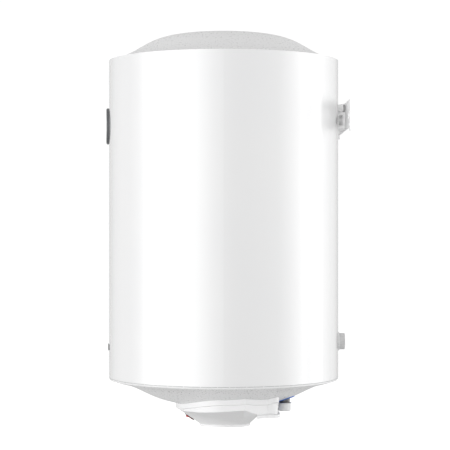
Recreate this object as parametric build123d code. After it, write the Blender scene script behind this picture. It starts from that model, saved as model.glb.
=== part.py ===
from build123d import *
import math
import os

# Wall-hung electric storage water heater, in millimetres.
# Every piece is built in the tank frame: the tank's axis is X = Y = 0, +Y points at the wall,
# +X to the right of a person who faces the heater. Height is counted from the hanging slots.
# writePart moves each piece back so that the wall's face is Y = 0.

# Overall sizes
shell_d = 445.0                # outer diameter of the sheet-steel jacket
shell_h = 611.0                # jacket, rim to rim
shell_wall = 0.8
wall_gap = 13.5                # back of the jacket to the wall
hook_drop = 113.0              # jacket's top rim above the hanging slots
top_rise = 50.0                # top cap's middle above the rim
bottom_rise = 54.8             # bottom cap's middle below the rim
cap_wall = 1.5
cap_skirt = 12.0               # how far a cap reaches into the jacket
access_r = 68.0                # opening in the bottom cap for the heater flange

# Pressure tank
foam_t = 21.7                  # foam between the tank and the jacket's inner face
tank_wall = 1.8
tank_top_drop = 17.0           # tank's upper edge below the jacket's top rim
tank_bottom_lift = 18.0        # tank's lower edge above the jacket's bottom rim
head_depth = 42.0
knuckle_r = 18.0

# Flanged opening with the heater and the anode
neck_r = 50.0
neck_wall = 3.0
flange_r = 62.5
stud_circle_r = 55.0
stud_r = 3.0
stud_count = 6
ring_drop = 47.0               # lower face of the welded ring below the jacket's rim
ring_t = 8.0
gasket_t = 3.0
plate_t = 4.0

# Water stubs: G 1/2 male thread
stub_r = 10.4775
stub_bore_r = 7.5
stub_x = 50.0
stub_inset = 105.9             # stubs' axis plane to the back of the jacket
stub_drop = 59.5               # stubs end this far below the jacket's rim
ring_reach = 9.0225            # colour ring on the cap, outside the stub
colour_ring_t = 1.2
cap_side = 1.4625              # wall of the push-on transport cap
cap_brim = 1.5
cap_brim_t = 1.2
cap_drop = 46.2                # the caps' brims below the jacket's rim
cap_h = 15.7
push_fit = 0.06

# Bottom cover
cover_a = 148.0                # half width
cover_b = 91.5                 # axis to the front
cover_side_y = 40.0
cover_ear_x = 119.0
cover_ear_y = 82.0
cover_rear_y = 102.0
cover_wall = 2.5
lip_out = 2.0
lip_rear_y = 121.0             # the lip's tongue between the stubs reaches back to here
lip_h = 10.0
crease_side_drop = 50.5        # upper edge of the slopes at the sides, below the jacket's rim
crease_front_drop = 59.5       # the same edge at the front
slope_end_drop = 91.5
cover_drop = 96.0
floor_a = 34.0
floor_b = 49.5
floor_y = 2.5
rear_drop = 61.5
skirt_drop = 67.5
skirt_out = 4.0
skirt_front_y = 62.0
notch_gap = 7.5                # cover's notch to the caps' brims
knob_r = 22.0
knob_well_r = 24.0
knob_well_depth = 9.0
knob_rib_r = 0.8
knob_rib_count = 36

# Cover's screws and cable gland, both through the skirt
screw_x = 92.0
screw_y = 84.0
screw_r = 1.6
screw_l = 27.5
gland_y = 84.0
gland_thread_r = 8.0
gland_bore_r = 4.0

# Thermostat
stat_h = 23.0
stat_front_y = -25.0
probe_r = 4.0
spindle_r = 3.0
button_x = 20.0
button_y = -18.0
button_r = 2.5

# Power rocker on the front slope
rocker_y = -66.0
rocker_w = 10.6
rocker_l = 15.0
rocker_rise = 3.6              # tips of the rocker above the slope
rocker_tilt = 10.0
bezel_w = 16.0
bezel_l = 21.5
bezel_t = 1.2
switch_w = 13.6                # the switch's body behind its frame
switch_l = 19.0
switch_t = 13.1
pivot_z = -3.0
pin_r = 1.2

# Thermometer on the front of the jacket
gauge_drop = 125.6             # gauge's middle below the jacket's top rim
gauge_r = 35.0
gauge_inner_r = 30.0
gauge_lift = 5.0
can_r = 25.0
can_depth = 13.0
capillary_r = 0.9
capillary_drop = 15.0          # capillary leaves the can this far below its middle

# Blank name strip
strip_rise = 57.7              # strip's middle above the jacket's bottom rim
strip_w = 58.0
strip_h = 11.0
strip_lift = 1.4

# Wall bracket: one pressed rail and a saddle behind it
rail_w = 300.0
rail_h = 58.7
rail_t = 2.5
tab_w = 14.0
tab_drop = 7.4                 # the end tabs reach this far below the rail
slot_gap = 240.0
slot_l = 30.0
slot_w = 12.0
saddle_w = 88.0
saddle_t = 2.0
saddle_top = 12.0
saddle_low = -19.0
hood_w = 88.0
post_x = 18.0
post_gap = 18.0                # between the two posts of a side
post_z = -3.5
post_r = 7.5
boss_r = 8.5                   # flat seats pressed into the saddle for the washers
bolt_r = 4.0
washer_r = 7.5
washer_t = 1.4
access_hole_r = 8.0            # in the rail, for the bolts' heads

# Rear spacer
spacer_rise = 67.7             # spacer's middle above the jacket's bottom rim
spacer_r = 15.75
spacer_rib_r = 0.9
spacer_rib_count = 24
spacer_pin_r = 5.9
collar_r = 18.0
collar_t = 2.0

# Derived places
shell_r = shell_d / 2
shell_in_r = shell_r - shell_wall
z_top = hook_drop
z_bottom = hook_drop - shell_h
wall_y = shell_r + wall_gap
skirt_r = shell_in_r - 0.05
tank_r = shell_in_r - foam_t
tank_top_edge = z_top - tank_top_drop
tank_bottom_edge = z_bottom + tank_bottom_lift
ring_low = z_bottom - ring_drop
ring_high = ring_low + ring_t
plate_high = ring_low - gasket_t
plate_low = plate_high - plate_t
nut_low = plate_low - 6.5
stub_y = shell_r - stub_inset
stub_end = z_bottom - stub_drop
ring_outer_r = stub_r + ring_reach
cap_body_r = stub_r + push_fit + cap_side
cap_brim_r = cap_body_r + cap_brim
notch_r = cap_brim_r + notch_gap
cap_top = z_bottom - cap_drop
cap_end = cap_top - cap_h
crease_side_z = z_bottom - crease_side_drop
crease_front_z = z_bottom - crease_front_drop
slope_end_z = z_bottom - slope_end_drop
cover_low = z_bottom - cover_drop
rear_low = z_bottom - rear_drop
skirt_low = z_bottom - skirt_drop
knob_well_top = cover_low + knob_well_depth
gauge_z = z_top - gauge_drop
strip_z = z_bottom + strip_rise
spacer_z = z_bottom + spacer_rise
far = 2 * shell_r              # past the outside of the jacket, for cuts
under = cover_low - 20.0       # below everything, for cuts

os.makedirs("parts", exist_ok=True)


def writePart(name, piece):
    export_step(Pos(0, -wall_y, 0) * piece, f"parts/{name}.step")


def rod(r, low, high, x=0.0, y=0.0):
    return Pos(x, y, low) * Cylinder(r, high - low, align=(Align.CENTER, Align.CENTER, Align.MIN))


def tube(r_out, r_in, low, high, x=0.0, y=0.0):
    return rod(r_out, low, high, x, y) - rod(r_in, low - 1, high + 1, x, y)


def rodY(r, y_low, y_high, x=0.0, z=0.0):
    return Pos(x, y_low, z) * Rot(-90, 0, 0) * rod(r, 0, y_high - y_low)


def block(x_low, x_high, y_low, y_high, z_low, z_high):
    middle = ((x_low + x_high) / 2, (y_low + y_high) / 2, (z_low + z_high) / 2)
    return Pos(*middle) * Box(x_high - x_low, y_high - y_low, z_high - z_low)


def hexPrism(across_flats, low, high, x=0.0, y=0.0):
    profile = RegularPolygon(across_flats / 2, 6, major_radius=False)
    return Pos(x, y, low) * extrude(profile, high - low)


def spun(face):
    return revolve(Plane.XZ * face, Axis.Z)


def wirePath(points, radii):
    return FilletPolyline(*points, radius=radii)


# ---- Caps ----

# Profiles as shares of the jacket's radius and of the cap's rise, from the middle outwards.
topShape = [(0, 1.0), (0.4045, 0.985), (0.6292, 0.74), (0.8764, 0.15)]
bottomShape = [(0, 1.0), (0.3596, 0.932), (0.6292, 0.649), (0.8764, 0.212)]
top_ledge_r = shell_r - 8.5
bottom_ledge_r = shell_r - 4.5
bead_h = 5.0


def capCurve(shape, rim, rise, side, ledge_r, ledge_rise, shift):
    points = [(share * shell_r, rim + side * (part * rise - shift)) for share, part in shape]
    points.append((ledge_r, rim + side * (ledge_rise - shift)))
    return Spline(points, tangents=[(1, 0), (1, -side * 0.5)], tangent_scalars=[1, 1])


def topCap():
    outer = capCurve(topShape, z_top, top_rise, 1, top_ledge_r, 0.0, 0.0)
    inner = capCurve(topShape, z_top, top_rise, 1, top_ledge_r, 0.0, cap_wall)
    rim = Polyline(
        (top_ledge_r, z_top),
        (skirt_r, z_top),
        (skirt_r, z_top - cap_skirt),
        (skirt_r - cap_wall, z_top - cap_skirt),
        (skirt_r - cap_wall, z_top - cap_wall),
        (top_ledge_r, z_top - cap_wall),
    )
    middle = Line((0, z_top + top_rise - cap_wall), (0, z_top + top_rise))
    return spun(make_face([outer, rim, inner, middle]))


def bottomCap():
    outer = capCurve(bottomShape, z_bottom, bottom_rise, -1, bottom_ledge_r, bead_h, 0.0)
    inner = capCurve(bottomShape, z_bottom, bottom_rise, -1, bottom_ledge_r, bead_h, cap_wall)
    bead_low = z_bottom - bead_h
    rim = Polyline(
        (bottom_ledge_r, bead_low),
        (shell_r - 1.2, bead_low + 0.6),
        (shell_r - 0.4, bead_low + 1.8),
        (shell_r - 0.4, z_bottom),
        (skirt_r, z_bottom),
        (skirt_r, z_bottom + cap_skirt),
        (skirt_r - cap_wall, z_bottom + cap_skirt),
        (skirt_r - cap_wall, bead_low + cap_wall),
        (bottom_ledge_r, bead_low + cap_wall),
    )
    middle_z = z_bottom - bottom_rise
    middle = Line((0, middle_z + cap_wall), (0, middle_z))
    dish = spun(make_face([outer, rim, inner, middle]))
    dish -= rod(access_r, middle_z - 5, z_bottom)
    for x in (-stub_x, stub_x):
        dish -= rod(stub_r + 1.0, middle_z - 5, z_bottom, x, stub_y)
    for x in (-screw_x, screw_x):
        dish -= rod(screw_r, middle_z - 5, z_bottom, x, screw_y)
    return dish


def underCap(shift):
    """Everything above the bottom cap's outer face moved down by shift."""
    curve = capCurve(bottomShape, z_bottom, bottom_rise, -1, bottom_ledge_r, bead_h, -shift)
    rim_z = z_bottom - bead_h - shift
    edge = Polyline(
        (bottom_ledge_r, rim_z),
        (shell_r + 20, rim_z),
        (shell_r + 20, z_bottom + 60),
        (0, z_bottom + 60),
        (0, z_bottom - bottom_rise - shift),
    )
    return spun(make_face([curve, edge]))


def foamBlank():
    """The space between the tank and the jacket with its caps, spun in one piece."""
    upper = capCurve(topShape, z_top, top_rise, 1, top_ledge_r, 0.0, cap_wall)
    lower = capCurve(bottomShape, z_bottom, bottom_rise, -1, bottom_ledge_r, bead_h, cap_wall)
    side = Polyline(
        (top_ledge_r, z_top - cap_wall),
        (skirt_r - cap_wall, z_top - cap_wall),
        (skirt_r - cap_wall, z_top - cap_skirt),
        (shell_in_r, z_top - cap_skirt),
        (shell_in_r, z_bottom + cap_skirt),
        (skirt_r - cap_wall, z_bottom + cap_skirt),
        (skirt_r - cap_wall, z_bottom - bead_h + cap_wall),
        (bottom_ledge_r, z_bottom - bead_h + cap_wall),
    )
    tank_low = tank_bottom_edge - head_depth
    tank_high = tank_top_edge + head_depth
    below = Line((0, z_bottom - bottom_rise + cap_wall), (0, tank_low))
    lowHead = headCurve(0.0, tank_bottom_edge, -1)
    barrel = Line((tank_r, tank_bottom_edge), (tank_r, tank_top_edge))
    highHead = headCurve(0.0, tank_top_edge, 1)
    above = Line((0, tank_high), (0, z_top + top_rise - cap_wall))
    return spun(make_face([upper, side, lower, below, barrel, above] + lowHead + highHead))


# ---- Tank ----

def headCurve(inset, edge, side):
    """Dished head from the tank's edge to its middle: a knuckle arc, then a flat crown arc."""
    knuckle = knuckle_r - inset
    knuckle_x = tank_r - knuckle_r
    crown = (knuckle_x ** 2 + head_depth ** 2 - knuckle_r ** 2) / (2 * (head_depth - knuckle_r))
    middle_z = head_depth - crown
    crown -= inset
    turn = math.atan2(-middle_z, knuckle_x)

    def onKnuckle(angle):
        return (knuckle_x + knuckle * math.cos(angle), edge + side * knuckle * math.sin(angle))

    def onCrown(angle):
        return (crown * math.cos(angle), edge + side * (middle_z + crown * math.sin(angle)))

    quarter = math.pi / 2
    lower = ThreePointArc(onKnuckle(0), onKnuckle(turn / 2), onKnuckle(turn))
    upper = ThreePointArc(onKnuckle(turn), onCrown((turn + quarter) / 2), onCrown(quarter))
    return [lower, upper]


def tankHead(edge, side):
    outer = headCurve(0.0, edge, side)
    inner = headCurve(tank_wall, edge, side)
    rim = Line((tank_r, edge), (tank_r - tank_wall, edge))
    high = edge + side * head_depth
    middle = Line((0, high), (0, high - side * tank_wall))
    return spun(make_face(outer + inner + [rim, middle]))


neck_high = tank_bottom_edge - head_depth + 6.0


def flangeNeck():
    neck = tube(neck_r, neck_r - neck_wall, ring_low, neck_high)
    neck += tube(flange_r, neck_r - neck_wall, ring_low, ring_high)
    for x, y in studPlaces():
        neck -= rod(stud_r, ring_low - 1, ring_high + 1, x, y)
    return neck


def studPlaces():
    turns = [2 * math.pi * i / stud_count for i in range(stud_count)]
    return [(stud_circle_r * math.cos(turn), stud_circle_r * math.sin(turn)) for turn in turns]


def postPlaces():
    inner = post_x - post_gap / 2
    outer = post_x + post_gap / 2
    return [(x, post_z) for x in (-outer, -inner, inner, outer)]


def seatHeight(x):
    """Where the washers lie: just over the highest point of the saddle's plate inside the boss."""
    return math.sqrt((shell_r + saddle_t) ** 2 - (abs(x) - boss_r) ** 2) + 0.3


def drill(r, x=0.0, y=0.0):
    """A cut that runs up through everything below the jacket's rim."""
    return rod(r, under, z_bottom, x, y)


# ---- Bracket ----

def saddleShape():
    """Channel between the jacket and the rail: curved plate, two flanges and two end cheeks."""
    rail_front = wall_y - rail_t
    half = saddle_w / 2
    band = tube(shell_r + saddle_t, shell_r, saddle_low, saddle_top)
    channel = band & block(-half, half, 0, rail_front, saddle_low, saddle_top)
    flange = block(-half, half, 0, rail_front, 0, saddle_t) - rod(shell_r, -5, 5)
    channel += Pos(0, 0, saddle_top - saddle_t) * flange
    channel += Pos(0, 0, saddle_low) * flange
    cheek = block(0, saddle_t, 0, rail_front, saddle_low, saddle_top)
    cheek -= block(-1, saddle_t + 1, shell_r - 12, rail_front - 5.0, saddle_low + 5.5, saddle_top - 5.5)
    for x in (-half, half - saddle_t):
        channel += Pos(x, 0, 0) * cheek - rod(shell_r, saddle_low - 1, saddle_top + 1)
    for x, z in postPlaces():
        channel += rodY(boss_r, 0, seatHeight(x), x, z) - rod(shell_r, saddle_low, saddle_top)
        channel -= rodY(bolt_r + 0.3, 0, rail_front - 1, x, z)
    return channel


def railShape():
    """The rail that hangs on the wall's hooks, with its hood over the top."""
    half = rail_w / 2
    rail = block(-half, half, wall_y - rail_t, wall_y, -rail_h / 2, rail_h / 2)
    middle = half - tab_w
    rail -= block(-middle, middle, shell_r, wall_y + 1, -rail_h / 2 - 1, -rail_h / 2 + tab_drop)
    slot = extrude(Plane.XZ * SlotOverall(slot_l, slot_w), 2 * rail_t, both=True)
    for x in (-slot_gap / 2, slot_gap / 2):
        rail -= Pos(x, wall_y, 0) * slot
    for x, z in postPlaces():
        rail -= rodY(access_hole_r, wall_y - 20, wall_y + 5, x, z)
    top = rail_h / 2
    profile = Polyline(
        (wall_y - rail_t, top),
        (wall_y - 7.0, top - 1.5),
        (wall_y - 30.0, top - 6.5),
        (wall_y - 30.0, top - 8.7),
        (wall_y - 7.0, top - 3.7),
        (wall_y - rail_t, top - 3.2),
        close=True,
    )
    hood = extrude(Plane.YZ * make_face(profile), hood_w / 2, both=True)
    gusset = Polyline(
        (wall_y - 6.5, top - 2.6),
        (wall_y - 30.0, top - 7.6),
        (wall_y - 30.0, top - 17.0),
        (wall_y - 6.5, top - 15.5),
        close=True,
    )
    cheek = Pos(hood_w / 2 - saddle_t, 0, 0) * extrude(Plane.YZ * make_face(gusset), saddle_t)
    hood += cheek
    hood += mirror(cheek, Plane.YZ)
    return rail + (hood - rod(shell_r + 0.3, -rail_h, rail_h))


# ---- Bottom cover ----

tilt_rise = (crease_side_z - crease_front_z) / (cover_side_y + cover_b)
tilt_cos = 1 / math.hypot(1, tilt_rise)


def creasePlane(lift):
    """The slanted plane in which the cover's wall meets its slopes."""
    normal = (0, -tilt_rise * tilt_cos, tilt_cos)
    height = crease_side_z - tilt_rise * cover_side_y + lift
    return Plane(origin=(0, 0, height), x_dir=(1, 0, 0), z_dir=normal)


def frontEdges(inset, stretch):
    """The cover's outline from the left side round the front to the right side."""
    a = cover_a - inset
    b = (cover_b - inset) * stretch
    side = (a, cover_side_y * stretch)
    return [
        Line((-side[0], side[1]), (-a, 0)),
        EllipticalCenterArc((0, 0), a, b, 180, arc_size=42),
        EllipticalCenterArc((0, 0), a, b, 222, arc_size=96),
        EllipticalCenterArc((0, 0), a, b, 318, arc_size=42),
        Line((a, 0), side),
    ]


def outline(inset, rear_y, corner):
    a = cover_a - inset
    ear_x = cover_ear_x - inset
    back = rear_y - inset
    rear = Polyline(
        (a, cover_side_y),
        (ear_x, cover_ear_y),
        (ear_x, back),
        (-ear_x, back),
        (-ear_x, cover_ear_y),
        (-a, cover_side_y),
    )
    face = make_face(frontEdges(inset, 1.0) + [rear])
    corners = face.vertices().filter_by_position(Axis.Y, back - 0.1, back + 0.1)
    return fillet(corners, corner)


def prism(face, low, high):
    return Pos(0, 0, low) * extrude(face, high - low)


def bowl(inset, lift):
    """The sloping front part: a ruled skin from the crease down to the small flat floor."""
    a = cover_a - inset
    stretch = 1 / tilt_cos
    reach_x = 180.0 - inset
    reach_y = (72.0 - inset) * stretch
    upper = frontEdges(inset, stretch) + [
        Line((a, cover_side_y * stretch), (reach_x, reach_y)),
        Line((reach_x, reach_y), (-reach_x, reach_y)),
        Line((-reach_x, reach_y), (-a, cover_side_y * stretch)),
    ]
    fa = floor_a - inset
    fb = floor_b - inset
    stops = [140, 142, 144, 396, 398, 400, 435, 465, 500]
    lower = [
        EllipticalCenterArc((0, floor_y), fa, fb, low, arc_size=high - low)
        for low, high in zip(stops, stops[1:])
    ]
    plane = creasePlane(lift)
    top_face = plane * make_face(upper)
    floor_face = Pos(0, 0, slope_end_z + lift) * make_face(lower)
    return loft([top_face, floor_face], ruled=True)


def coverVolume(inset, lift, skirt_reach):
    """The space inside the cover's outer (inset 0) or inner face."""
    wall_face = outline(inset, cover_rear_y, 14.0)
    wall = prism(wall_face, cover_low, z_bottom + 20)
    plane = creasePlane(lift)
    above = plane * (Pos(0, 0, far / 2) * Box(2 * far, 2 * far, far))
    volume = wall & above
    volume += bowl(inset, lift) & wall
    floor_face = Ellipse(floor_a - inset, floor_b - inset)
    volume += Pos(0, floor_y, cover_low + lift) * extrude(floor_face, slope_end_z - cover_low)
    back = block(-far, far, skirt_front_y + inset, far, under, z_bottom + 20)
    rear = prism(wall_face, rear_low + lift, z_bottom + 20) & back
    skirt_face = outline(inset - skirt_reach, cover_rear_y, 16.0)
    skirt = prism(skirt_face, skirt_low + lift, rear_low + lift) & back
    volume += rear
    volume += skirt
    for x in (-stub_x, stub_x):
        volume -= rod(notch_r + inset, under, z_bottom + 30, x, stub_y)
    return volume


slope_run = math.hypot(slope_end_z - crease_front_z, cover_b - floor_b + floor_y)
slope_down = (crease_front_z - slope_end_z) / slope_run
slope_back = (cover_b - floor_b + floor_y) / slope_run
rocker_z = crease_front_z - (rocker_y + cover_b) * slope_down / slope_back
rockerPlane = Plane(
    origin=(0, rocker_y, rocker_z),
    x_dir=(1, 0, 0),
    z_dir=(0, -slope_down, -slope_back),
)


def bottomCover():
    cover = coverVolume(0.0, 0.0, skirt_out) - coverVolume(cover_wall, cover_wall, 0.0)
    lip = prism(outline(-lip_out, cover_rear_y, 12.0), under, z_bottom)
    lip += block(-stub_x, stub_x, cover_rear_y - 10, lip_rear_y, under, z_bottom)
    lip -= prism(outline(cover_wall, cover_rear_y, 12.0), under, z_bottom)
    lip &= underCap(lip_h)
    for x in (-stub_x, stub_x):
        lip -= drill(notch_r, x, stub_y)
    cover += lip
    well = rod(knob_well_r + cover_wall, cover_low, knob_well_top + cover_wall, 0, floor_y)
    cover += well
    cover -= rod(knob_well_r, under, knob_well_top, 0, floor_y)
    cover -= drill(spindle_r + 2.0, 0, floor_y)
    for x in (-screw_x, screw_x):
        cover += rod(5.0, skirt_low, z_bottom, x, screw_y)
    cover -= underCap(0.05)
    for x in (-screw_x, screw_x):
        cover -= drill(screw_r + 0.5, x, screw_y)
    cover -= drill(gland_thread_r + 0.1, 0, gland_y)
    cover -= rockerPlane * Box(switch_w + 0.3, switch_l + 0.4, 30)
    return cover


# ---- Power rocker ----

def switchBody():
    frame = Pos(0, 0, bezel_t / 2 + 0.02) * Box(bezel_w, bezel_l, bezel_t)
    frame = fillet(frame.edges().filter_by(Axis.Z), 2.5)
    body = frame + Pos(0, 0, 0.05 - switch_t / 2) * Box(switch_w, switch_l, switch_t)
    body -= Box(rocker_w + 0.5, switch_l - 1.4, 20)
    body -= Rot(0, 90, 0) * Pos(-pivot_z, 0, 0) * Cylinder(pin_r + 0.05, 2 * switch_w)
    body += Pos(0, 0, 0.8 - switch_t) * Box(switch_w, switch_l, 1.6)
    for y in (-6.5, 0.0, 6.5):
        body += Pos(0, y, -switch_t - 3.0) * Box(6.3, 0.8, 7.0)
    return rockerPlane * body


def powerRocker():
    half = rocker_l / 2
    profile = Polyline(
        (-half, -4.6),
        (0, -6.4),
        (half, -4.6),
        (half, rocker_rise),
        (0, rocker_rise - 1.4),
        (-half, rocker_rise),
        close=True,
    )
    body = extrude(Plane.YZ * make_face(profile), rocker_w / 2, both=True)
    body = fillet(body.edges().filter_by(Axis.X).sort_by(Axis.Z)[-3:], 0.6)
    body += Rot(0, 90, 0) * Pos(-pivot_z, 0, 0) * Cylinder(pin_r, switch_w - 0.2)
    about = Pos(0, 0, pivot_z) * Rot(rocker_tilt, 0, 0) * Pos(0, 0, -pivot_z)
    return rockerPlane * (about * body)


# ---- Thermometer ----

face_y = -shell_r


def curvedBand(lift_low, lift_high):
    """A thin layer round the front half of the jacket."""
    layer = tube(shell_r + lift_high, shell_r + lift_low, z_bottom, z_top)
    return layer & block(-far, far, -far, 0, z_bottom, z_top)


def gaugeBezel():
    ring = rodY(gauge_r, -far, 0, 0, gauge_z) - rodY(gauge_inner_r, -far, 0, 0, gauge_z)
    ring &= curvedBand(0.02, gauge_lift)
    outer = ring.edges().filter_by(lambda e: ringRadius(e) > gauge_r - 0.5 and liftOf(e) > gauge_lift - 1)
    return fillet(outer, 1.6)


def ringRadius(edge):
    spot = edge.position_at(0.13)
    return math.hypot(spot.X, spot.Z - gauge_z)


def liftOf(edge):
    spot = edge.position_at(0.13)
    return math.hypot(spot.X, spot.Y) - shell_r


dial_r = gauge_inner_r - 0.3
dial_t = 0.3
can_t = 0.8
can_front = face_y - 0.9


def gaugeCan():
    """Back can in the foam, with a wide front flange that carries the dial."""
    can = rodY(can_r, can_front, face_y + can_depth, 0, gauge_z)
    can -= rodY(can_r - can_t, can_front - 1, face_y + can_depth - can_t, 0, gauge_z)
    flange = rodY(dial_r, can_front, can_front + can_t, 0, gauge_z)
    can += flange - rodY(can_r - can_t, can_front - 1, can_front + 2, 0, gauge_z)
    return can - rodY(capillary_r + 0.1, face_y, face_y + can_depth + 5, 0, gauge_z - capillary_drop)


# ---- Build and write every piece ----

# Jacket: rolled sheet with the openings for the gauge, the bracket's posts and the spacer.
jacket = tube(shell_r, shell_in_r, z_bottom, z_top)
jacket -= rodY(can_r + 0.5, -far, 0, 0, gauge_z)
for x, z in postPlaces():
    jacket -= rodY(post_r + 0.3, 0, far, x, z)
jacket -= rodY(spacer_pin_r + 0.3, 0, far, 0, spacer_z)
writePart("outer_shell", jacket)
writePart("top_cap", topCap())
writePart("bottom_cap", bottomCap())

# Tank: barrel with two heads, the neck with its ring, and the stubs.
writePart("tank_barrel", tube(tank_r, tank_r - tank_wall, tank_bottom_edge, tank_top_edge))
writePart("tank_top_head", tankHead(tank_top_edge, 1))
lowerHead = tankHead(tank_bottom_edge, -1) - rod(neck_r, under, tank_bottom_edge)
for x in (-stub_x, stub_x):
    lowerHead -= rod(stub_r, under, tank_bottom_edge, x, stub_y)
writePart("tank_bottom_head", lowerHead)
writePart("flange_neck", flangeNeck())

studs = Compound(children=[rod(stud_r, nut_low - 3.0, ring_high, x, y) for x, y in studPlaces()])
writePart("flange_studs", studs)
nuts = [hexPrism(10.0, nut_low, plate_low, x, y) - drill(stud_r, x, y) for x, y in studPlaces()]
writePart("flange_nuts", Compound(children=nuts))

gasket = tube(stud_circle_r - stud_r - 1.0, neck_r - 10.0, plate_high, ring_low)
writePart("flange_gasket", gasket)

element_x = 26.0
element_y = 22.0
element_r = 4.2
element_l = 352.0
anode_y = 28.0
anode_r = 10.5
anode_l = 318.0
well_r = 7.0
well_wall = 0.9
well_l = 252.0
plate = rod(flange_r, plate_low, plate_high)
for x, y in studPlaces():
    plate -= drill(stud_r + 0.3, x, y)
for x in (-element_x, element_x):
    plate -= drill(element_r, x, element_y)
plate -= drill(stud_r, 0, anode_y)
plate -= drill(well_r, 0, floor_y)
writePart("heater_flange", plate)

# Immersion heater: one long hairpin through the plate, with a terminal pin in each leg.
element_top = plate_low + element_l
bend = CenterArc((0, 0, 0), element_x, 0, 180)
bendPlane = Plane(origin=(0, element_y, element_top), x_dir=(1, 0, 0), z_dir=(0, -1, 0))
section = Plane(origin=(element_x, element_y, element_top), z_dir=(0, 0, 1)) * Circle(element_r)
hairpin = sweep(section, bendPlane * bend)
for x in (-element_x, element_x):
    hairpin += rod(element_r, plate_low - 3, element_top, x, element_y)
writePart("heating_element", hairpin)
pins = []
for x in (-element_x, element_x):
    pins.append(
        rod(1.5, plate_low - 13, plate_low - 6, x, element_y)
        + rod(3.4, plate_low - 6, plate_low - 3, x, element_y)
        + Pos(x, element_y, plate_low - 13) * Box(6.3, 0.8, 8.0)
    )
writePart("element_terminals", Compound(children=pins))

anode = rod(anode_r, plate_high, plate_high + anode_l, 0, anode_y)
anode += rod(stud_r, plate_low - 9, plate_high, 0, anode_y)
writePart("magnesium_anode", anode)
anodeNut = hexPrism(10.0, plate_low - 5, plate_low, 0, anode_y) - drill(stud_r, 0, anode_y)
writePart("anode_nut", anodeNut)

# Thermostat: a closed-end well in the water, and the rod of the thermostat in it.
well_top = plate_low + well_l
well = rod(well_r, plate_low, well_top, 0, floor_y)
well -= rod(well_r - well_wall, plate_low - 1, well_top - well_wall, 0, floor_y)
writePart("thermowell", well)
stat_high = plate_low - 2.0
stat_low = stat_high - stat_h
probe = rod(probe_r, stat_high, well_top - 10.0, 0, floor_y)
writePart("thermostat_probe", probe)
stat = block(-31, 31, stat_front_y, 13, stat_low, stat_high)
stat = fillet(stat.edges().filter_by(Axis.Z), 3.0)
stat += tube(probe_r + 2.0, probe_r, stat_high, plate_low, 0, floor_y)
stat -= rod(spindle_r + 0.05, stat_low - 1, stat_low + 10, 0, floor_y)
stat -= rod(button_r + 0.05, stat_low - 1, stat_low + 6, button_x, button_y)
for x in (-24.0, -12.0):
    stat += block(x - 3.15, x + 3.15, stat_front_y - 7, stat_front_y, stat_low + 8, stat_low + 8.8)
writePart("thermostat_body", stat)
spindle = rod(spindle_r, cover_low + 3.0, stat_low + 9.5, 0, floor_y)
writePart("thermostat_spindle", spindle)
button = rod(button_r, stat_low - 1.8, stat_low + 3.5, button_x, button_y)
writePart("reset_button", button)

# Knob: ribbed disc in the well of the cover, pressed on the spindle.
knob_high = knob_well_top - 0.6
knob = rod(knob_r - knob_rib_r, cover_low - 0.5, knob_high, 0, floor_y)
knob = chamfer(knob.edges().sort_by(Axis.Z)[0], 1.0)
rib_circle_r = knob_r - knob_rib_r - 0.1
for i in range(knob_rib_count):
    angle = 2 * math.pi * i / knob_rib_count
    rib_y = floor_y + rib_circle_r * math.sin(angle)
    knob += rod(knob_rib_r, cover_low + 1.0, knob_high, rib_circle_r * math.cos(angle), rib_y)
knob -= block(-0.8, 0.8, floor_y - knob_r - 2, floor_y - 9, cover_low - 1, cover_low + 0.4)
knob -= rod(spindle_r, cover_low + 3.0, knob_well_top, 0, floor_y)
writePart("control_knob", knob)

# Stubs, the hot water standpipe and the cold water diffuser.
head_in_z = tank_bottom_edge - 30.0
pipe_low = head_in_z - 20.0
pipe_in_r = stub_bore_r - 1.2
disc_r = 15.0
for side, name in ((1, "cold_stub"), (-1, "hot_stub")):
    stub = tube(stub_r, stub_bore_r, stub_end, head_in_z + 14, side * stub_x, stub_y)
    writePart(name, chamfer(stub.edges().sort_by(Axis.Z)[0:2].sort_by(SortBy.RADIUS)[-1], 1.0))
standpipe = tube(stub_bore_r, pipe_in_r, pipe_low, tank_top_edge + 16, -stub_x, stub_y)
writePart("hot_standpipe", standpipe)
diffuser = tube(stub_bore_r, pipe_in_r, pipe_low, head_in_z + 30, stub_x, stub_y)
diffuser += tube(disc_r, pipe_in_r, head_in_z + 28, head_in_z + 30, stub_x, stub_y)
diffuser += rod(disc_r, head_in_z + 40, head_in_z + 42, stub_x, stub_y)
for i in range(3):
    angle = 2 * math.pi * i / 3
    leg_x = stub_x + (disc_r - 3) * math.cos(angle)
    leg_y = stub_y + (disc_r - 3) * math.sin(angle)
    diffuser += rod(1.5, head_in_z + 29, head_in_z + 41, leg_x, leg_y)
writePart("inlet_diffuser", diffuser)

# Colour rings lie on the cap's slope; push-on caps close the stubs until they are piped.
for side, ringName, capName in ((1, "cold_ring", "cold_cap"), (-1, "hot_ring", "hot_cap")):
    ring = tube(ring_outer_r, stub_r + 0.1, under, z_bottom, side * stub_x, stub_y)
    ring &= underCap(colour_ring_t)
    writePart(ringName, ring - underCap(0.02))
    cap = rod(cap_body_r, cap_end, cap_top, side * stub_x, stub_y)
    cap = chamfer(cap.edges().sort_by(Axis.Z)[0], 1.2)
    cap += rod(cap_brim_r, cap_top - cap_brim_t, cap_top, side * stub_x, stub_y)
    cap -= rod(stub_r + push_fit, stub_end, cap_top + 1, side * stub_x, stub_y)
    writePart(capName, cap)

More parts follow.
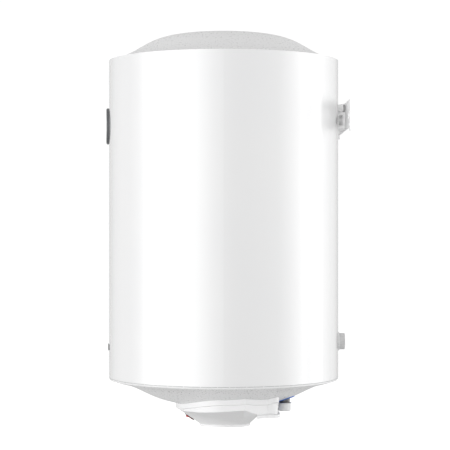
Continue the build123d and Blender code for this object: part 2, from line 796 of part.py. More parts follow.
# Cover, its screws, the rocker switch and the cable gland.
writePart("bottom_cover", bottomCover())
screws = []
for x in (-screw_x, screw_x):
    screw = rod(4.0, skirt_low - 2.4, skirt_low, x, screw_y)
    screw += rod(screw_r, skirt_low, skirt_low + screw_l, x, screw_y)
    screw -= block(x - 0.5, x + 0.5, screw_y - 2.6, screw_y + 2.6, skirt_low - 3, skirt_low - 1.4)
    screw -= block(x - 2.6, x + 2.6, screw_y - 0.5, screw_y + 0.5, skirt_low - 3, skirt_low - 1.4)
    screws.append(screw)
writePart("cover_screws", Compound(children=screws))
writePart("switch_body", switchBody())
writePart("power_rocker", powerRocker())
gland = hexPrism(19.0, skirt_low - 5.0, skirt_low, 0, gland_y)
gland += rod(8.6, skirt_low - 10.5, skirt_low - 5.0, 0, gland_y)
gland += rod(gland_thread_r, skirt_low, skirt_low + 7.5, 0, gland_y)
gland -= drill(gland_bore_r, 0, gland_y)
writePart("cable_gland", gland)
gland_nut_low = skirt_low + cover_wall
glandNut = hexPrism(19.0, gland_nut_low, gland_nut_low + 3.5, 0, gland_y)
writePart("gland_nut", glandNut - drill(gland_thread_r, 0, gland_y))

# Thermometer: bezel wrapped on the jacket, can in the foam, dial, pointer, lens and probe.
writePart("thermometer_bezel", gaugeBezel())
writePart("thermometer_can", gaugeCan())
arbor_r = 0.8
dial = rodY(dial_r, can_front - dial_t, can_front, 0, gauge_z)
dial -= rodY(arbor_r + 0.05, -far, 0, 0, gauge_z)
writePart("thermometer_dial", dial)
needle = make_face(Polyline((-2.2, -6), (2.2, -6), (0.5, 21), (-0.5, 21), close=True))
pointer_back = can_front - dial_t - 0.2
pointer = Pos(0, pointer_back, gauge_z) * extrude(Plane.XZ * needle, 0.3)
pointer += rodY(3.0, pointer_back - 0.5, pointer_back, 0, gauge_z)
pointer += rodY(arbor_r, pointer_back, can_front + 3.0, 0, gauge_z)
gauge_rest = 125.0             # degrees from upright to the cold end of the dial
pointer = Pos(0, 0, gauge_z) * Rot(0, -gauge_rest, 0) * Pos(0, 0, -gauge_z) * pointer
writePart("thermometer_pointer", pointer)
lens_back = pointer_back - 0.7
lens = rodY(gauge_inner_r - 0.05, lens_back - 1.0, lens_back, 0, gauge_z)
writePart("thermometer_lens", lens)
bulb_r = 2.9
bulb_l = 45.0
probe_y = -tank_r - bulb_r - 0.1
bulb_high = gauge_z - 120.0
capillary = wirePath(
    [
        (0, face_y + can_depth - can_t, gauge_z - capillary_drop),
        (0, face_y + can_depth + 5.0, gauge_z - capillary_drop),
        (0, probe_y, gauge_z - 60),
        (0, probe_y, bulb_high),
    ],
    [3.0, 12.0],
)
probeTube = sweep(Plane(origin=capillary @ 0, z_dir=capillary % 0) * Circle(capillary_r), capillary)
probeTube += rod(bulb_r, bulb_high - bulb_l, bulb_high, 0, probe_y)
writePart("thermometer_probe", probeTube)
clip_low = bulb_high - 30
clip_high = bulb_high - 14
clip = tube(tank_r + 1.2, tank_r - 2, clip_low, clip_high)
clip &= block(-11, 11, -far, 0, clip_low, clip_high)
clip += rod(bulb_r + 1.3, clip_low, clip_high, 0, probe_y)
clip -= rod(bulb_r + 0.05, clip_low - 1, clip_high + 1, 0, probe_y)
clip -= rod(tank_r, clip_low - 1, clip_high + 1)
writePart("probe_clip", clip)

# Blank name strip, curved like the jacket.
strip = curvedBand(0.02, strip_lift)
strip &= block(-strip_w / 2, strip_w / 2, -far, 0, strip_z - strip_h / 2, strip_z + strip_h / 2)
strip = fillet(strip.edges().filter_by(lambda e: e.length < 2.0), 0.6)
writePart("name_strip", strip)

# Bracket: rail and saddle, fixed by four bolts to posts that stand on the tank.
writePart("wall_bracket", railShape())
writePart("bracket_saddle", saddleShape())
posts = []
bolts = []
washers = []
for x, z in postPlaces():
    seat_y = seatHeight(x)
    head_y = seat_y + washer_t
    post_end = math.sqrt(shell_r ** 2 - (abs(x) + post_r) ** 2) - 0.3
    post = rodY(post_r, 0, post_end, x, z) - rod(tank_r, -far, far)
    post -= rodY(bolt_r, 0, far, x, z)
    posts.append(post)
    washers.append(rodY(washer_r, seat_y, head_y, x, z) - rodY(bolt_r + 0.3, 0, far, x, z))
    head = Pos(x, head_y, z) * Rot(-90, 0, 0) * hexPrism(13.0, 0, 5.3)
    bolts.append(head + rodY(bolt_r, seat_y - 22.0, head_y, x, z))
writePart("bracket_posts", Compound(children=posts))
writePart("bracket_bolts", Compound(children=bolts))
writePart("bracket_washers", Compound(children=washers))

# Rear spacer: a ribbed stud that holds the lower end off the wall.
spacer = rodY(spacer_r - 0.5, shell_r + 1.0, wall_y - 0.8, 0, spacer_z)
for i in range(spacer_rib_count):
    angle = 2 * math.pi * i / spacer_rib_count
    rib_x = (spacer_r - spacer_rib_r) * math.cos(angle)
    rib_z = spacer_z + (spacer_r - spacer_rib_r) * math.sin(angle)
    spacer += rodY(spacer_rib_r, shell_r + 1.5, wall_y - 1.2, rib_x, rib_z)
spacer += rodY(spacer_pin_r, tank_r + 4.0, shell_r + 1.0, 0, spacer_z)
writePart("rear_spacer", spacer)
collar = rodY(collar_r, shell_r - 2.0, shell_r + collar_t, 0, spacer_z)
collar -= rodY(spacer_r + 0.1, 0, far, 0, spacer_z)
writePart("spacer_collar", collar - rod(shell_r + 0.02, z_bottom, z_top))

# Foam fills what is left inside the jacket.
foam = foamBlank()
foam -= rod(access_r, under, ring_high + 9.0)
foam -= rod(neck_r, under, tank_bottom_edge)
for x in (-stub_x, stub_x):
    foam -= rod(stub_r, under, tank_bottom_edge, x, stub_y)
foam -= rodY(can_r + 0.5, -far, face_y + can_depth, 0, gauge_z)
foam -= block(-12, 12, face_y + can_depth - 1, 0, bulb_high - bulb_l - 3, gauge_z - 10)
for x, z in postPlaces():
    foam -= rodY(post_r, 0, far, x, z)
foam -= rodY(spacer_pin_r, 0, far, 0, spacer_z)
for x in (-screw_x, screw_x):
    foam -= rod(screw_r + 0.1, under, skirt_low + screw_l + 1, x, screw_y)
writePart("insulation_foam", foam)
print("written", len(os.listdir("parts")))
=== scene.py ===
import bpy
import math
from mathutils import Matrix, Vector


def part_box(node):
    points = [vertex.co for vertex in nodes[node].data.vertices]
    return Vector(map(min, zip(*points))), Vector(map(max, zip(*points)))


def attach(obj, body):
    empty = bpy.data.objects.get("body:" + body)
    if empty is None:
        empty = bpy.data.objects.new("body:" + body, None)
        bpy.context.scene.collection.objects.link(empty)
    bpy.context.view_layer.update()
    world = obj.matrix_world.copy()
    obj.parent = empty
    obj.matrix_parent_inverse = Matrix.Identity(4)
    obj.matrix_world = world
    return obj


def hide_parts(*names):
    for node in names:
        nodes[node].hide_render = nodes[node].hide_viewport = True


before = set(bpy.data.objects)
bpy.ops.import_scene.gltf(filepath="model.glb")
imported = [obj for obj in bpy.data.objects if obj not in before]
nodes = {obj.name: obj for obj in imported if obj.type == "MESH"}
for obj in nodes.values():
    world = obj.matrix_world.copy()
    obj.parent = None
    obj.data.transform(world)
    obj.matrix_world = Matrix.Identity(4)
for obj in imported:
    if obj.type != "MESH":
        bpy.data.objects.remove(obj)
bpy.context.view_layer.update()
scene = bpy.context.scene
print("frame loaded")


# Shared effects

def makeGroup(name, inputs, outputs):
    group = bpy.data.node_groups.new(name, "ShaderNodeTree")
    for label, kind, value in inputs:
        socket = group.interface.new_socket(label, in_out="INPUT", socket_type="NodeSocket" + kind)
        socket.default_value = value
    for label, kind in outputs:
        group.interface.new_socket(label, in_out="OUTPUT", socket_type="NodeSocket" + kind)
    return group, group.nodes.new("NodeGroupInput"), group.nodes.new("NodeGroupOutput")


def addNode(tree, kind, links=None, **settings):
    node = tree.nodes.new("ShaderNode" + kind)
    for key, value in settings.items():
        setattr(node, key, value)
    for socket, source in (links or {}).items():
        if hasattr(source, "is_output"):
            tree.links.new(source, node.inputs[socket])
        else:
            node.inputs[socket].default_value = source
    return node


def spread(tree, source, low, high, first, last):
    node = addNode(tree, "MapRange", {0: source, 1: low, 2: high, 3: first, 4: last})
    node.clamp = True
    return node.outputs[0]


grainShape = {"low": 0.3, "high": 0.7}


# Soft blotches, or streaks when one axis is stretched.
def makeGrain():
    inputs = [("Scale", "Float", 20.0), ("Stretch", "Vector", (1, 1, 1)), ("Detail", "Float", 3.0)]
    group, start, end = makeGroup("grain", inputs, [("Mask", "Float")])
    place = addNode(group, "TexCoord")
    shape = addNode(group, "Mapping", {0: place.outputs["Object"], 3: start.outputs["Stretch"]})
    links = {"Vector": shape.outputs[0], "Scale": start.outputs["Scale"], "Detail": start.outputs["Detail"]}
    noise = addNode(group, "TexNoise", links)
    mask = spread(group, noise.outputs[0], grainShape["low"], grainShape["high"], 0.0, 1.0)
    group.links.new(mask, end.inputs[0])
    return group


edgeShape = {"flat": 0.99, "sharp": 0.8, "noiseScale": 160.0, "low": 0.4, "high": 0.62, "samples": 4}


# Worn or lighter edges, broken up by noise.
def makeEdges():
    inputs = [("Radius", "Float", 0.001), ("Amount", "Float", 1.0)]
    group, start, end = makeGroup("edges", inputs, [("Mask", "Float"), ("Normal", "Vector")])
    soft = addNode(group, "Bevel", {"Radius": start.outputs["Radius"]}, samples=edgeShape["samples"])
    shape = addNode(group, "NewGeometry")
    links = {0: soft.outputs[0], 1: shape.outputs["Normal"]}
    turn = addNode(group, "VectorMath", links, operation="DOT_PRODUCT")
    sharp = spread(group, turn.outputs["Value"], edgeShape["flat"], edgeShape["sharp"], 0.0, 1.0)
    place = addNode(group, "TexCoord")
    links = {"Vector": place.outputs["Object"], "Scale": edgeShape["noiseScale"], "Detail": 4.0}
    noise = addNode(group, "TexNoise", links)
    broken = spread(group, noise.outputs[0], edgeShape["low"], edgeShape["high"], 0.0, 1.0)
    both = addNode(group, "Math", {0: sharp, 1: broken}, operation="MULTIPLY")
    mask = addNode(group, "Math", {0: both.outputs[0], 1: start.outputs["Amount"]}, operation="MULTIPLY")
    group.links.new(mask.outputs[0], end.inputs[0])
    group.links.new(soft.outputs[0], end.inputs[1])
    return group


dustShape = {"tilt": 0.55, "noiseScale": 45.0, "low": 0.35, "high": 0.75, "least": 0.2}
dustColor = (0.5, 0.48, 0.45)


# Fine dust on what faces up.
def makeDust():
    group, start, end = makeGroup("dust", [("Amount", "Float", 0.3)], [("Mask", "Float")])
    shape = addNode(group, "NewGeometry")
    split = addNode(group, "SeparateXYZ", {0: shape.outputs["Normal"]})
    upward = spread(group, split.outputs[2], dustShape["tilt"], 1.0, 0.0, 1.0)
    place = addNode(group, "TexCoord")
    links = {"Vector": place.outputs["Object"], "Scale": dustShape["noiseScale"], "Detail": 6.0}
    noise = addNode(group, "TexNoise", links)
    patch = spread(group, noise.outputs[0], dustShape["low"], dustShape["high"], dustShape["least"], 1.0)
    both = addNode(group, "Math", {0: upward, 1: patch}, operation="MULTIPLY")
    mask = addNode(group, "Math", {0: both.outputs[0], 1: start.outputs["Amount"]}, operation="MULTIPLY")
    group.links.new(mask.outputs[0], end.inputs[0])
    return group


grainGroup = makeGrain()
edgeGroup = makeEdges()
dustGroup = makeDust()


def useGroup(tree, group, links):
    node = tree.nodes.new("ShaderNodeGroup")
    node.node_tree = group
    for socket, source in links.items():
        node.inputs[socket].default_value = source
    return node


def blendColor(tree, mask, first, second):
    node = tree.nodes.new("ShaderNodeMix")
    node.data_type = "RGBA"
    tree.links.new(mask, node.inputs[0])
    for socket, source in ((6, first), (7, second)):
        if hasattr(source, "is_output"):
            tree.links.new(source, node.inputs[socket])
        else:
            node.inputs[socket].default_value = (*source, 1.0)
    return node.outputs[2]


# Every surface: two near tones, uneven gloss, fine relief, softened and worn edges, dust on top.
def makeMaterial(name, look):
    material = bpy.data.materials.new(name)
    material.use_nodes = True
    tree = material.node_tree
    shader = tree.nodes["Principled BSDF"]
    shader.inputs["Metallic"].default_value = look.get("metallic", 0.0)
    shader.inputs["IOR"].default_value = look.get("ior", 1.5)
    shader.inputs["Coat Weight"].default_value = look.get("coat", 0.0)
    shader.inputs["Coat Roughness"].default_value = look.get("coatRoughness", 0.05)
    shader.inputs["Transmission Weight"].default_value = look.get("clear", 0.0)
    stretch = look.get("stretch", (1, 1, 1))
    blotch = useGroup(tree, grainGroup, {"Scale": look["blotchScale"], "Stretch": stretch})
    fine = useGroup(tree, grainGroup, {"Scale": look["grainScale"], "Stretch": stretch, "Detail": 2.0})
    color = blendColor(tree, blotch.outputs[0], look["color"], look["shade"])
    if look["edgeRadius"] > 0:
        edges = useGroup(tree, edgeGroup, {"Radius": look["edgeRadius"], "Amount": look["wear"]})
        color = blendColor(tree, edges.outputs[0], color, look["wornColor"])
    if "dust" in look:
        dust = useGroup(tree, dustGroup, {"Amount": look["dust"]})
        color = blendColor(tree, dust.outputs[0], color, dustColor)
    tree.links.new(color, shader.inputs["Base Color"])
    low, high = look["roughness"]
    tree.links.new(spread(tree, fine.outputs[0], 0.0, 1.0, low, high), shader.inputs["Roughness"])
    bump = addNode(tree, "Bump", {"Height": fine.outputs[0], "Distance": look["relief"]})
    if look["edgeRadius"] > 0:
        tree.links.new(edges.outputs[1], bump.inputs["Normal"])
    tree.links.new(bump.outputs[0], shader.inputs["Normal"])
    if look.get("coat"):
        tree.links.new(bump.outputs[0], shader.inputs["Coat Normal"])
    return material


def dress(material, *names):
    for name in names:
        mesh = nodes[name].data
        mesh.materials.clear()
        mesh.materials.append(material)


# Jacket and caps: white stoved enamel with a faint orange peel.
enamelLook = {
    "color": (0.70, 0.70, 0.70),
    "shade": (0.687, 0.688, 0.692),
    "blotchScale": 6.0,
    "grainScale": 420.0,
    "roughness": (0.10, 0.16),
    "relief": 0.000003,
    "edgeRadius": 0.0,
    "coat": 1.0,
    "dust": 0.10,
}
enamel = makeMaterial("whiteEnamel", enamelLook)
dress(enamel, "outer_shell")
capLook = dict(
    enamelLook,
    color=(0.715, 0.715, 0.715),
    shade=(0.705, 0.705, 0.708),
    blotchScale=4.0,
    grainScale=260.0,
    roughness=(0.27, 0.29),
    coat=0.0,
    relief=0.0000008,
)
dress(makeMaterial("capEnamel", capLook), "top_cap", "bottom_cap")

# Bracket: powder coat, coarser grain and scratched edges. Its white is painted lighter than the jacket's,
# as painted light on the shaded bracket and saddle.
bracketLook = {
    "color": (0.93, 0.93, 0.93),
    "shade": (0.90, 0.90, 0.90),
    "blotchScale": 14.0,
    "grainScale": 900.0,
    "roughness": (0.34, 0.5),
    "relief": 0.00003,
    "edgeRadius": 0.0007,
    "wear": 0.3,
    "wornColor": (0.55, 0.55, 0.54),
    "dust": 0.1,
}
dress(makeMaterial("powderCoat", bracketLook), "wall_bracket", "bracket_saddle")

# Cover, knob and collar: moulded plastic with a fine spark-eroded texture.
plasticLook = {
    "color": (0.78, 0.78, 0.78),
    "shade": (0.765, 0.765, 0.77),
    "blotchScale": 9.0,
    "grainScale": 1500.0,
    "roughness": (0.34, 0.46),
    "relief": 0.00003,
    "edgeRadius": 0.0009,
    "wear": 0.15,
    "wornColor": (0.88, 0.88, 0.87),
    "dust": 0.08,
}
dress(makeMaterial("whitePlastic", plasticLook), "bottom_cover", "spacer_collar")
knobLook = dict(plasticLook, color=(0.80, 0.80, 0.80), roughness=(0.28, 0.4), edgeRadius=0.0004)
dress(makeMaterial("knobPlastic", knobLook), "control_knob")

# Grey push-on caps, rear spacer and diffuser: soft polyethylene.
softLook = {
    "color": (0.72, 0.72, 0.72),
    "shade": (0.68, 0.68, 0.685),
    "blotchScale": 60.0,
    "grainScale": 1300.0,
    "roughness": (0.42, 0.55),
    "relief": 0.00004,
    "edgeRadius": 0.0006,
    "wear": 0.3,
    "wornColor": (0.78, 0.78, 0.78),
}
dress(makeMaterial("softPlastic", softLook), "cold_cap", "hot_cap", "inlet_diffuser")
spacerLook = dict(softLook, color=(0.62, 0.62, 0.62), shade=(0.58, 0.58, 0.585), roughness=(0.5, 0.62))
dress(makeMaterial("spacerPlastic", spacerLook), "rear_spacer")

# Black and dark grey mouldings.
blackLook = {
    "color": (0.035, 0.035, 0.037),
    "shade": (0.025, 0.025, 0.027),
    "blotchScale": 40.0,
    "grainScale": 1200.0,
    "roughness": (0.3, 0.45),
    "relief": 0.00004,
    "edgeRadius": 0.0005,
    "wear": 0.5,
    "wornColor": (0.10, 0.10, 0.10),
}
dress(makeMaterial("blackPlastic", blackLook), "thermostat_body", "switch_body", "cable_gland", "gland_nut")
bezelLook = dict(
    blackLook,
    color=(0.11, 0.115, 0.12),
    shade=(0.095, 0.10, 0.105),
    wornColor=(0.2, 0.2, 0.2),
)
dress(makeMaterial("bezelPlastic", bezelLook), "thermometer_bezel")
stripLook = dict(blackLook, color=(0.13, 0.135, 0.14), shade=(0.11, 0.115, 0.12), stretch=(3, 3, 0.2))
dress(makeMaterial("stripPlastic", stripLook), "name_strip")

# Rocker and reset button: glossy red.
redLook = {
    "color": (0.60, 0.02, 0.02),
    "shade": (0.52, 0.014, 0.014),
    "blotchScale": 90.0,
    "grainScale": 1400.0,
    "roughness": (0.16, 0.26),
    "relief": 0.00002,
    "edgeRadius": 0.0006,
    "wear": 0.5,
    "wornColor": (0.55, 0.08, 0.07),
}
dress(makeMaterial("redPlastic", redLook), "power_rocker", "reset_button", "thermometer_pointer")

# Colour rings: matt vinyl.
blueLook = dict(
    redLook,
    color=(0.02, 0.15, 0.58),
    shade=(0.015, 0.13, 0.50),
    wornColor=(0.1, 0.24, 0.5),
    roughness=(0.4, 0.55),
)
dress(makeMaterial("blueVinyl", blueLook), "cold_ring")
warmLook = dict(redLook, color=(0.45, 0.03, 0.02), roughness=(0.4, 0.55))
dress(makeMaterial("redVinyl", warmLook), "hot_ring")

# Metals.
steelLook = {
    "color": (0.56, 0.57, 0.58),
    "shade": (0.45, 0.46, 0.47),
    "metallic": 1.0,
    "blotchScale": 70.0,
    "grainScale": 700.0,
    "roughness": (0.26, 0.42),
    "relief": 0.00002,
    "edgeRadius": 0.0004,
    "wear": 0.6,
    "wornColor": (0.72, 0.72, 0.72),
}
zincSteel = makeMaterial("zincSteel", steelLook)
dress(zincSteel, "flange_studs", "flange_nuts", "heater_flange", "anode_nut", "cover_screws")
dress(zincSteel, "probe_clip", "thermometer_can", "element_terminals", "thermostat_probe")
paleLook = dict(
    steelLook,
    color=(0.82, 0.82, 0.82),
    shade=(0.74, 0.74, 0.74),
    metallic=0.6,
    roughness=(0.4, 0.55),
)
dress(makeMaterial("paleZinc", paleLook), "bracket_posts", "bracket_bolts", "bracket_washers")
stainlessLook = dict(steelLook, color=(0.62, 0.61, 0.60), shade=(0.55, 0.54, 0.53), stretch=(1, 1, 0.1))
dress(makeMaterial("stainless", stainlessLook), "heating_element", "thermowell", "hot_standpipe")
brassLook = dict(
    steelLook,
    color=(0.72, 0.52, 0.23),
    shade=(0.62, 0.43, 0.18),
    wornColor=(0.85, 0.66, 0.36),
)
dress(makeMaterial("brass", brassLook), "thermostat_spindle")
copperLook = dict(
    steelLook,
    color=(0.72, 0.38, 0.26),
    shade=(0.60, 0.30, 0.20),
    wornColor=(0.82, 0.5, 0.36),
)
dress(makeMaterial("copper", copperLook), "thermometer_probe")
magnesiumLook = dict(steelLook, color=(0.62, 0.62, 0.60), shade=(0.5, 0.5, 0.49), roughness=(0.5, 0.7))
dress(makeMaterial("magnesium", magnesiumLook), "magnesium_anode")

# Tank: dark blue glass enamel fired on steel.
tankLook = {
    "color": (0.04, 0.07, 0.13),
    "shade": (0.03, 0.055, 0.10),
    "blotchScale": 30.0,
    "grainScale": 500.0,
    "roughness": (0.12, 0.3),
    "relief": 0.00004,
    "edgeRadius": 0.0008,
    "wear": 0.6,
    "wornColor": (0.2, 0.2, 0.2),
}
tankEnamel = makeMaterial("tankEnamel", tankLook)
dress(tankEnamel, "tank_barrel", "tank_top_head", "tank_bottom_head", "flange_neck")
rubberLook = dict(blackLook, roughness=(0.6, 0.75), wornColor=(0.06, 0.06, 0.06))
dress(makeMaterial("blackRubber", rubberLook), "flange_gasket")
foamLook = {
    "color": (0.72, 0.60, 0.30),
    "shade": (0.60, 0.47, 0.20),
    "blotchScale": 50.0,
    "grainScale": 600.0,
    "roughness": (0.8, 0.95),
    "relief": 0.0004,
    "edgeRadius": 0.001,
    "wear": 0.3,
    "wornColor": (0.8, 0.7, 0.42),
}
dress(makeMaterial("foam", foamLook), "insulation_foam")

# Gauge: printed dial behind a clear lens.
dialLook = {
    "color": (0.80, 0.80, 0.78),
    "shade": (0.77, 0.77, 0.75),
    "blotchScale": 80.0,
    "grainScale": 1200.0,
    "roughness": (0.4, 0.55),
    "relief": 0.00001,
    "edgeRadius": 0.0002,
    "wear": 0.2,
    "wornColor": (0.6, 0.6, 0.58),
}
dress(makeMaterial("dialPaper", dialLook), "thermometer_dial")
lensLook = {
    "color": (0.97, 0.98, 0.98),
    "shade": (0.95, 0.97, 0.97),
    "blotchScale": 40.0,
    "grainScale": 300.0,
    "roughness": (0.01, 0.04),
    "relief": 0.000003,
    "edgeRadius": 0.0003,
    "wear": 0.2,
    "wornColor": (0.9, 0.92, 0.92),
    "clear": 1.0,
    "ior": 1.49,
}
dress(makeMaterial("clearLens", lensLook), "thermometer_lens")

threadLook = dict(steelLook, color=(0.30, 0.29, 0.28), shade=(0.2, 0.19, 0.18), roughness=(0.35, 0.55))
threadSteel = makeMaterial("threadSteel", threadLook)
dress(threadSteel, "cold_stub", "hot_stub")
print("materials done")


def addPiece(name, vertices, faces, material):
    mesh = bpy.data.meshes.new(name)
    mesh.from_pydata(vertices, [], faces)
    mesh.materials.append(material)
    piece = bpy.data.objects.new(name, mesh)
    scene.collection.objects.link(piece)
    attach(piece, "heater")
    return piece


def ringFaces(rings, around):
    faces = []
    for row in range(rings - 1):
        for i in range(around):
            near = row * around + i
            side = row * around + (i + 1) % around
            faces.append((near, side, side + around, near + around))
    return faces


# Water stubs with a real helical G 1/2 thread, cut away a little at the mouth.
stubShape = {
    "crestR": 0.01046,
    "rootR": 0.0094,
    "boreR": 0.0075,
    "pitch": 0.001814,
    "threaded": 0.018,
    "mouth": 0.0011,
    "runOut": 0.0006,
    "flank": 1.35,
    "around": 72,
    "stepsPerPitch": 10,
}


def threadRadius(height, turn):
    crest, root = stubShape["crestR"], stubShape["rootR"]
    if height > stubShape["threaded"]:
        return crest
    phase = (height / stubShape["pitch"] - turn) % 1.0
    tooth = min(1.0, stubShape["flank"] * (1.0 - abs(2.0 * phase - 1.0)))
    start = crest - max(0.0, stubShape["mouth"] - height)
    return min(root + (crest - root) * tooth, start)


def makeStub(name):
    low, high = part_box(name)
    middle = (low + high) / 2
    around = stubShape["around"]
    threaded = stubShape["threaded"]
    total = high.z - low.z
    steps = int(threaded / stubShape["pitch"] * stubShape["stepsPerPitch"])
    heights = [threaded * i / steps for i in range(steps + 1)]
    heights += [threaded + stubShape["runOut"], total]
    vertices = []
    for height in (total, 0.0):
        for i in range(around):
            angle = 2 * math.pi * i / around
            x = middle.x + stubShape["boreR"] * math.cos(angle)
            y = middle.y + stubShape["boreR"] * math.sin(angle)
            vertices.append((x, y, low.z + height))
    for height in heights:
        for i in range(around):
            angle = 2 * math.pi * i / around
            r = threadRadius(height, i / around)
            x = middle.x + r * math.cos(angle)
            y = middle.y + r * math.sin(angle)
            vertices.append((x, y, low.z + height))
    faces = ringFaces(2 + len(heights), around)
    last = (1 + len(heights)) * around
    faces += [(last + i, last + (i + 1) % around, (i + 1) % around, i) for i in range(around)]
    piece = addPiece(name + "Thread", vertices, faces, threadSteel)
    piece.data.shade_smooth()
    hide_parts(name)


makeStub("cold_stub")
makeStub("hot_stub")

# Lock seam of the jacket's sheet, on the back beside the bracket.
# The profile runs from one edge of the seam to the other: share of its half width, share of its lift.
seamShape = {
    "azimuth": 130.0,
    "halfWidth": 0.004,
    "lift": 0.0005,
    "clear": 0.00002,
    "inset": 0.003,
    "profile": [(-1.25, 0.0), (-1.0, 0.8), (-0.85, 1.0), (0.85, 1.0), (1.0, 0.75), (1.0, 0.0)],
}


def makeSeam():
    low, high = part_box("outer_shell")
    radius = (high.x - low.x) / 2
    middleY = (low.y + high.y) / 2
    half = seamShape["halfWidth"] / radius
    vertices = []
    for z in (low.z + seamShape["inset"], high.z - seamShape["inset"]):
        for across, part in seamShape["profile"]:
            angle = math.radians(seamShape["azimuth"]) + across * half
            r = radius + seamShape["clear"] + part * seamShape["lift"]
            vertices.append((r * math.cos(angle), middleY + r * math.sin(angle), z))
    count = len(seamShape["profile"])
    faces = [(i, i + 1, i + 1 + count, i + count) for i in range(count - 1)]
    faces += [tuple(range(count)), tuple(reversed(range(count, 2 * count)))]
    addPiece("jacketSeam", vertices, faces, enamel)


makeSeam()

# Painted shadow: a thin grey ring just under the jacket's hem, standing in for the shade in the gap between
# the jacket and the bottom cap.
gapShadeShape = {"around": 180, "inset": 0.00038, "top": 0.0001, "low": 0.0013}
gapShadeLook = dict(softLook, color=(0.40, 0.41, 0.41), shade=(0.36, 0.37, 0.37))


def makeGapShade():
    low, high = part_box("outer_shell")
    radius = (high.x - low.x) / 2 - gapShadeShape["inset"]
    middleY = (low.y + high.y) / 2
    around = gapShadeShape["around"]
    vertices = []
    for drop in (gapShadeShape["low"], gapShadeShape["top"]):
        for i in range(around):
            angle = 2 * math.pi * i / around
            x = radius * math.cos(angle)
            y = middleY + radius * math.sin(angle)
            vertices.append((x, y, low.z - drop))
    # Mid-grey colour of the ring is painted shade, not a real gasket or joint colour.
    gapShadeGrey = makeMaterial("gapShadeGrey", gapShadeLook)
    piece = addPiece("jacketGapShade", vertices, ringFaces(2, around), gapShadeGrey)
    piece.data.shade_smooth()


makeGapShade()

# Dial print: ticks, plain numbers and a cold and a hot zone, a hair in front of the dial.
dialPrint = {
    "sweep": 125.0,
    "ticks": 41,
    "longEvery": 5,
    "halfLong": 0.00022,
    "halfShort": 0.00012,
    "tickOut": 0.0262,
    "tickShort": 0.0242,
    "tickLong": 0.0226,
    "numberR": 0.0182,
    "numberSize": 0.0052,
    "labels": ("0", "20", "40", "60", "80"),
    "zoneIn": 0.0268,
    "zoneOut": 0.0284,
    "zoneEdge": 63.0,
    "zoneSteps": 24,
    "lift": 0.00006,
}
inkLook = dict(blackLook, roughness=(0.5, 0.65), edgeRadius=0.00005, wear=0.0)
ink = makeMaterial("dialInk", inkLook)
coldInk = makeMaterial("coldInk", dict(blueLook, edgeRadius=0.00005, wear=0.0))
hotInk = makeMaterial("hotInk", dict(warmLook, edgeRadius=0.00005, wear=0.0))
dialLow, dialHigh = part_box("thermometer_dial")
dialY = dialLow.y - dialPrint["lift"]
dialZ = (dialLow.z + dialHigh.z) / 2


def onDial(r, angle, aside=0.0):
    turn = math.radians(angle)
    x = r * math.sin(turn) + aside * math.cos(turn)
    z = r * math.cos(turn) - aside * math.sin(turn)
    return (x, dialY, dialZ + z)


def makeTicks():
    vertices = []
    faces = []
    outer = dialPrint["tickOut"]
    for i in range(dialPrint["ticks"]):
        angle = -dialPrint["sweep"] + 2 * dialPrint["sweep"] * i / (dialPrint["ticks"] - 1)
        isLong = i % dialPrint["longEvery"] == 0
        inner = dialPrint["tickLong"] if isLong else dialPrint["tickShort"]
        half = dialPrint["halfLong"] if isLong else dialPrint["halfShort"]
        first = len(vertices)
        for r, aside in ((inner, -half), (inner, half), (outer, half), (outer, -half)):
            vertices.append(onDial(r, angle, aside))
        faces.append(tuple(range(first, first + 4)))
    addPiece("dialTicks", vertices, faces, ink)


def makeZone(name, start, end, material):
    steps = dialPrint["zoneSteps"]
    vertices = []
    for i in range(steps + 1):
        angle = start + (end - start) * i / steps
        vertices.append(onDial(dialPrint["zoneIn"], angle))
        vertices.append(onDial(dialPrint["zoneOut"], angle))
    faces = [(2 * i, 2 * i + 1, 2 * i + 3, 2 * i + 2) for i in range(steps)]
    addPiece(name, vertices, faces, material)


def makeNumbers():
    for i, label in enumerate(dialPrint["labels"]):
        angle = -dialPrint["sweep"] + 2 * dialPrint["sweep"] * i / (len(dialPrint["labels"]) - 1)
        text = bpy.data.curves.new("number" + label, "FONT")
        text.body = label
        text.size = dialPrint["numberSize"]
        text.align_x = "CENTER"
        text.align_y = "CENTER"
        text.materials.append(ink)
        number = bpy.data.objects.new("number" + label, text)
        number.rotation_euler = (math.radians(90), 0, 0)
        number.location = onDial(dialPrint["numberR"], angle)
        scene.collection.objects.link(number)
        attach(number, "heater")


makeTicks()
makeZone("coldZone", -dialPrint["sweep"], -dialPrint["zoneEdge"], coldInk)
makeZone("hotZone", dialPrint["zoneEdge"], dialPrint["sweep"], hotInk)
makeNumbers()
print("pieces done")

# Floor, lights and camera. The floor is far below, because the heater hangs on a wall.
floorShape = {"low": -1.15, "size": 14.0, "glow": 0.55}
floorLook = {
    "color": (0.86, 0.86, 0.86),
    "shade": (0.84, 0.84, 0.84),
    "blotchScale": 1.5,
    "grainScale": 40.0,
    "roughness": (0.7, 0.8),
    "relief": 0.0,
    "edgeRadius": 0.0,
}


def makeFloor():
    half = floorShape["size"] / 2
    low = floorShape["low"]
    mesh = bpy.data.meshes.new("floor")
    corners = [(-half, -half, low), (half, -half, low), (half, half, low), (-half, half, low)]
    mesh.from_pydata(corners, [], [(0, 1, 2, 3)])
    floor = bpy.data.objects.new("floor", mesh)
    scene.collection.objects.link(floor)
    material = makeMaterial("paleFloor", floorLook)
    shader = material.node_tree.nodes["Principled BSDF"]
    shader.inputs["Emission Color"].default_value = (1, 1, 1, 1)
    shader.inputs["Emission Strength"].default_value = floorShape["glow"]
    mesh.materials.append(material)
    floor.visible_diffuse = False
    floor.visible_glossy = False


makeFloor()

# The bracket stays out of the mirror image in the jacket.
for name in ("wall_bracket", "bracket_saddle"):
    nodes[name].visible_glossy = False

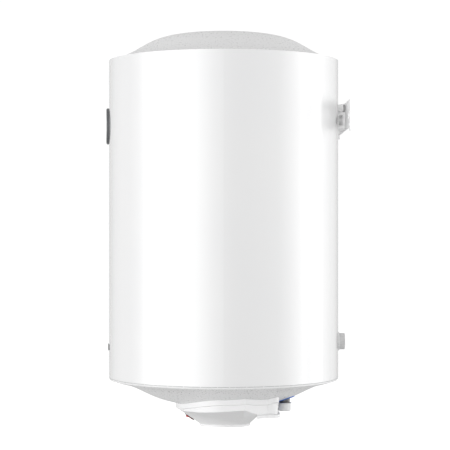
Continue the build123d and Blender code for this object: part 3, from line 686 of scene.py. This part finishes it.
# Room light: even from above and below, with soft panels round the object at eye level.
# Each pair is a direction in degrees from +X towards +Y and the brightness of the panel there.
roomLight = {
    "above": 0.74,
    "level": 0.66,
    "below": 0.66,
    "levelEdge": 0.2,
    "fullEdge": 0.6,
    "backdrop": 1.05,
    "panelLow": 0.16,
    "panelHigh": 0.34,
    "panels": [
        (-180, 0.1), (-154, 0.1), (-140, 0.2), (-119, 0.3), (-106, 0.3), (-94, 0.7), (-88, 1.3),
        (-80, 2.6), (-29, 2.8), (-19, 2.0), (-9, 1.2), (1, 0.5), (10, 0.2), (22, 0.25),
        (42, 0.5), (55, 0.7), (68, 1.5), (80, 2.4), (86, 2.9), (92, 2.3), (100, 2.3),
        (109, 2.9), (117, 1.2), (132, 0.5), (158, 0.05), (180, 0.05),
    ],
}


def makeRoom():
    world = bpy.data.worlds.new("room")
    world.use_nodes = True
    scene.world = world
    tree = world.node_tree
    tree.nodes.clear()
    place = addNode(tree, "TexCoord")
    split = addNode(tree, "SeparateXYZ", {0: place.outputs["Generated"]})
    near, far = roomLight["levelEdge"], roomLight["fullEdge"]
    up = spread(tree, split.outputs[2], near, far, 0.0, roomLight["above"] - roomLight["level"])
    down = spread(tree, split.outputs[2], -far, -near, roomLight["below"], roomLight["level"])
    even = addNode(tree, "Math", {0: up, 1: down}, operation="ADD")
    turn = addNode(tree, "Math", {0: split.outputs[1], 1: split.outputs[0]}, operation="ARCTAN2")
    share = spread(tree, turn.outputs[0], -math.pi, math.pi, 0.0, 1.0)
    ramp = addNode(tree, "ValToRGB", {0: share})
    stops = ramp.color_ramp.elements
    highest = max(level for _, level in roomLight["panels"])
    while len(stops) < len(roomLight["panels"]):
        stops.new(0.5)
    for stop, (angle, level) in zip(stops, roomLight["panels"]):
        stop.position = (angle + 180) / 360
        stop.color = (level / highest, level / highest, level / highest, 1)
    height = addNode(tree, "Math", {0: split.outputs[2]}, operation="ABSOLUTE")
    band = spread(tree, height.outputs[0], roomLight["panelLow"], roomLight["panelHigh"], highest, 0.0)
    panel = addNode(tree, "Math", {0: ramp.outputs[0], 1: band}, operation="MULTIPLY")
    total = addNode(tree, "Math", {0: even.outputs[0], 1: panel.outputs[0]}, operation="ADD")
    white = (1, 1, 1, 1)
    soft = addNode(tree, "Background", {0: white, 1: total.outputs[0]})
    seen = addNode(tree, "Background", {0: white, 1: roomLight["backdrop"]})
    path = addNode(tree, "LightPath")
    links = {0: path.outputs["Is Camera Ray"], 1: soft.outputs[0], 2: seen.outputs[0]}
    mix = addNode(tree, "MixShader", links)
    end = addNode(tree, "OutputWorld")
    tree.links.new(mix.outputs[0], end.inputs[0])


makeRoom()


# Softboxes aim at the middle of the heater. Azimuth is in degrees from +X towards +Y.
softboxes = {
    "frontPanel": {"azimuth": -54, "distance": 2.6, "height": 0.0, "width": 2.2, "tall": 2.4, "power": 6},
    "wallPanel": {"azimuth": 68, "distance": 1.2, "height": 0.25, "width": 0.5, "tall": 0.6, "power": 1.6},
}
lightAim = Vector((0, -0.236, -0.2))


def softbox(name, shape):
    light = bpy.data.lights.new(name, "AREA")
    light.shape = "RECTANGLE"
    light.size = shape["width"]
    light.size_y = shape["tall"]
    light.energy = shape["power"]
    lamp = bpy.data.objects.new(name, light)
    scene.collection.objects.link(lamp)
    turn = math.radians(shape["azimuth"])
    reach = shape["distance"]
    lamp.location = lightAim + Vector((math.cos(turn) * reach, math.sin(turn) * reach, shape["height"]))
    lamp.rotation_euler = (lightAim - lamp.location).to_track_quat("-Z", "Y").to_euler()
    lamp.visible_glossy = False


for name, shape in softboxes.items():
    softbox(name, shape)

viewLook = {"place": (3.086, -0.236, -0.2175), "lens": 126.9, "shiftX": 0.0031, "shiftY": 0.0151}
camera = bpy.data.objects.new("camera", bpy.data.cameras.new("camera"))
scene.collection.objects.link(camera)
camera.location = viewLook["place"]
camera.rotation_euler = (math.radians(90), 0, math.radians(90))
camera.data.lens = viewLook["lens"]
camera.data.sensor_width = 36.0
camera.data.shift_x = viewLook["shiftX"]
camera.data.shift_y = viewLook["shiftY"]
scene.camera = camera
scene.view_settings.view_transform = "Standard"
print("stage done")
